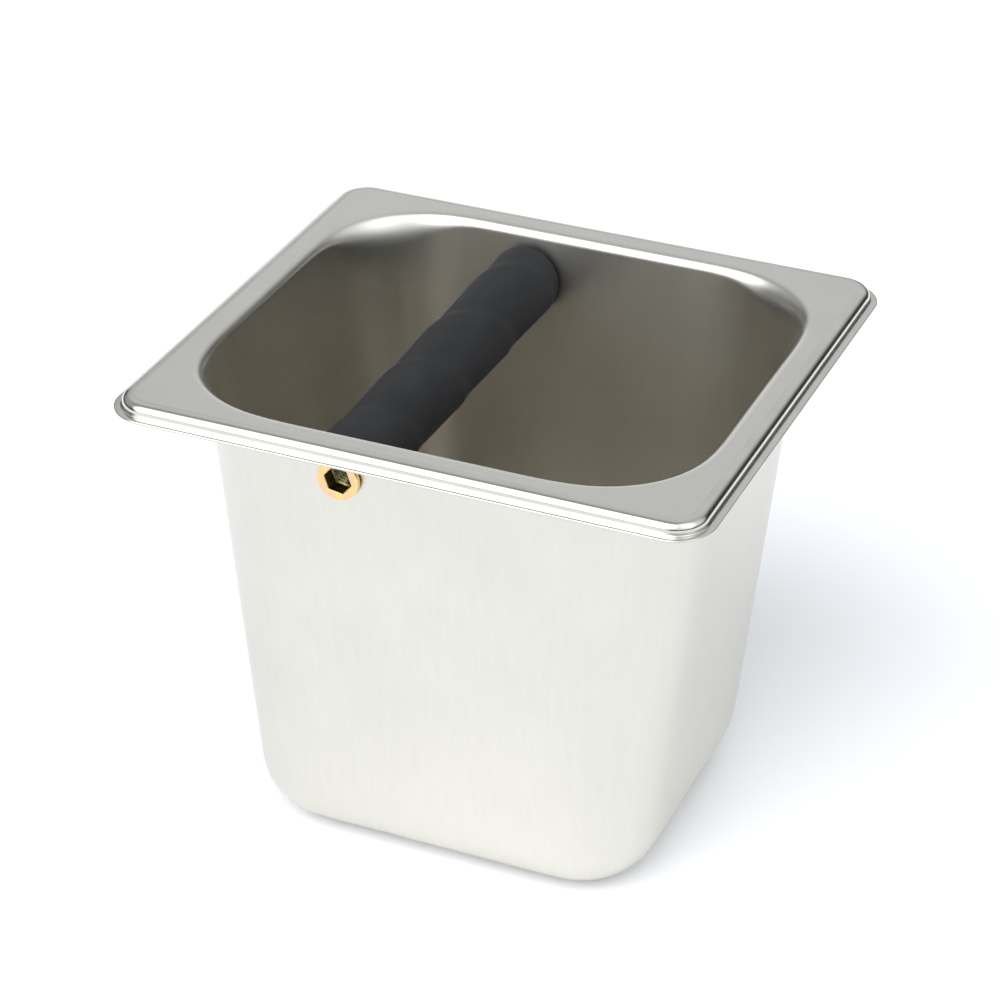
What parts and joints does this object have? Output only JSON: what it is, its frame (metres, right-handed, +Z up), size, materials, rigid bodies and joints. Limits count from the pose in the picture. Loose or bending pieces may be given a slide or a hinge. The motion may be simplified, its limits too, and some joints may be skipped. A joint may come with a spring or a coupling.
{
  "type": "espresso knock box",
  "caption": "Tapered stainless pan with a wide rim and a rubber-covered bar across its mouth, on which used coffee is knocked out of a portafilter.",
  "frame": {"origin": "centre of the pan's underside, on the surface it stands on", "axes": "+Z up; +X along the rim's longer side; the bar runs along Y, nearer the -X side"},
  "size_m": [0.176, 0.162, 0.15],
  "materials": {
    "stainless": "fine satin, with a polished rim edge",
    "beech": "raw turned beech",
    "rubber": "matte black",
    "yellow_zinc": "yellow passivated zinc on steel"
  },
  "bodies": {
    "pan": {"pan": "stainless"},
    "knock_bar": {"bar_core": "beech", "rubber_sleeve": "rubber", "front_insert": "yellow_zinc", "rear_insert": "yellow_zinc"}
  },
  "joints": [
    {"name": "bar_turn", "type": "hinge", "parent": "pan", "child": "knock_bar", "pos_m": [-0.0209, 0, 0.135], "axis": [0, 1, 0], "continuous": true}
  ]
}
